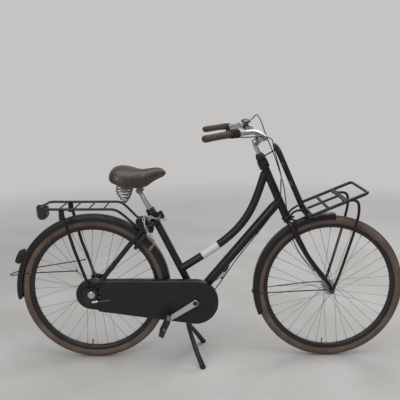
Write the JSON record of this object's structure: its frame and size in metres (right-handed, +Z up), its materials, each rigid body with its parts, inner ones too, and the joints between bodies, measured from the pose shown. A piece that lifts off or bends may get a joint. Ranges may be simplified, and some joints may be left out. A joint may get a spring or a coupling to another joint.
{
  "type": "dutch city bike",
  "caption": "Step-through city bike with a closed chaincase, mudguards, rear rack, front carrier, ring lock, sprung saddle and two-legged stand.",
  "frame": {"origin": "on the ground, in the mid-plane, halfway between the front tyre and the rear mudguard stay", "axes": "+X toward the front of the bike, +Y to the rider's left, +Z up"},
  "size_m": [1.9262, 0.6248, 1.1872],
  "materials": {
    "frame_black": "satin",
    "aluminium": "brushed",
    "dark_steel": "brushed",
    "brown_tyre": "matte",
    "brown_leather": "satin",
    "brown_grip": "matte",
    "black_rubber": "matte",
    "black_plastic": "matte",
    "red_plastic": "gloss"
  },
  "bodies": {
    "frame": {"head_tube": "frame_black", "top_tube": "frame_black", "down_tube": "frame_black", "seat_tube": "frame_black", "rear_triangle_right": "frame_black", "rear_triangle_left": "frame_black", "seat_clamp": "frame_black", "chaincase_outer": "frame_black", "chaincase_inner": "frame_black", "chaincase_rear_cover": "frame_black", "rear_mudguard": "frame_black", "rear_mudguard_stay": "frame_black", "rear_rack": "frame_black", "kickstand_bracket": "frame_black", "chain": "dark_steel", "rear_axle": "dark_steel", "lock_chain": "aluminium", "ring_lock_body": "black_plastic", "gear_click_box": "black_plastic", "shift_cable_lower": "black_plastic", "rear_lamp": "red_plastic", "rear_reflector": "red_plastic"},
    "steering": {"fork": "frame_black", "stem": "aluminium", "handlebar": "aluminium", "grip_right": "brown_grip", "grip_left": "brown_grip", "brake_lever_mount": "frame_black", "bell": "aluminium", "front_mudguard": "frame_black", "front_mudguard_stay": "frame_black", "carrier_back_frame": "frame_black", "carrier_platform": "frame_black", "front_axle": "dark_steel", "brake_cable": "black_plastic", "shift_cable_upper": "black_plastic"},
    "front_wheel": {"front_tyre": "brown_tyre", "front_rim": "frame_black", "front_hub": "aluminium"},
    "rear_wheel": {"rear_tyre": "brown_tyre", "rear_rim": "frame_black", "rear_hub": "aluminium"},
    "crank": {"chainring": "dark_steel", "crank_spindle": "dark_steel", "crank_right": "aluminium", "crank_left": "aluminium"},
    "sprocket": {"rear_sprocket": "dark_steel"},
    "right_pedal": {"pedal_right": "black_rubber"},
    "left_pedal": {"pedal_left": "black_rubber"},
    "stand": {"kickstand_legs": "frame_black"},
    "lock_bolt": {"ring_lock_shackle": "aluminium"},
    "seat": {"seat_post": "aluminium", "saddle_frame": "dark_steel", "saddle_cover": "brown_leather", "saddle_spring_right": "dark_steel", "saddle_spring_left": "dark_steel"},
    "brake_hand_lever": {"brake_lever": "aluminium"},
    "bell_thumb_lever": {"bell_lever": "dark_steel"},
    "gear_twist_grip": {"twist_shifter": "black_rubber"}
  },
  "joints": [
    {"name": "steering_turn", "type": "hinge", "parent": "frame", "child": "steering", "pos_m": [0.55596, 0, 0.33607], "axis": [-0.3987, 0, 0.9171], "range_deg": [-50, 50]},
    {"name": "front_wheel_turn", "type": "hinge", "parent": "steering", "child": "front_wheel", "pos_m": [0.6064, 0, 0.358], "axis": [0, 1, 0], "continuous": true},
    {"name": "rear_wheel_turn", "type": "hinge", "parent": "frame", "child": "rear_wheel", "pos_m": [-0.5436, 0, 0.358], "axis": [0, 1, 0], "continuous": true},
    {"name": "crank_turn", "type": "hinge", "parent": "frame", "child": "crank", "pos_m": [-0.0466, 0, 0.312], "axis": [0, 1, 0], "continuous": true},
    {"name": "sprocket_turn", "type": "hinge", "parent": "frame", "child": "sprocket", "pos_m": [-0.5436, 0, 0.358], "axis": [0, 1, 0], "continuous": true},
    {"name": "right_pedal_turn", "type": "hinge", "parent": "crank", "child": "right_pedal", "pos_m": [-0.19077, 0, 0.22191], "axis": [0, 1, 0], "continuous": true},
    {"name": "left_pedal_turn", "type": "hinge", "parent": "crank", "child": "left_pedal", "pos_m": [0.09757, 0, 0.40209], "axis": [0, 1, 0], "continuous": true},
    {"name": "stand_fold", "type": "hinge", "parent": "frame", "child": "stand", "pos_m": [-0.0816, 0, 0.222], "axis": [0, 1, 0], "range_deg": [0, 70]},
    {"name": "lock_bolt_turn", "type": "hinge", "parent": "frame", "child": "lock_bolt", "pos_m": [-0.3065, 0, 0.6107], "axis": [-0.8387, 0, 0.5446], "range_deg": [0, 66]},
    {"name": "seat_height", "type": "slide", "parent": "frame", "child": "seat", "axis": [-0.4337, 0, 0.9011], "range_m": [-0.05, 0.06]},
    {"name": "brake_lever_pull", "type": "hinge", "parent": "steering", "child": "brake_hand_lever", "pos_m": [0.12608, 0.26256, 1.09455], "axis": [0.4538, 0.8911, 0], "range_deg": [0, 10], "stiffness_Nm_per_rad": 4, "springref_deg": -2.86},
    {"name": "bell_lever_push", "type": "hinge", "parent": "steering", "child": "bell_thumb_lever", "pos_m": [0.21127, 0.17452, 1.12994], "axis": [0, 0, 1], "range_deg": [-30, 0], "stiffness_Nm_per_rad": 0.05, "springref_deg": 5.73},
    {"name": "gear_twist", "type": "hinge", "parent": "steering", "child": "gear_twist_grip", "pos_m": [0.11736, -0.26736, 1.12807], "axis": [0.8565, 0.5144, 0.0428], "range_deg": [-60, 0]}
  ],
  "couplings": [
    {"joint": "sprocket_turn", "follows": "crank_turn", "ratio": 2}
  ]
}
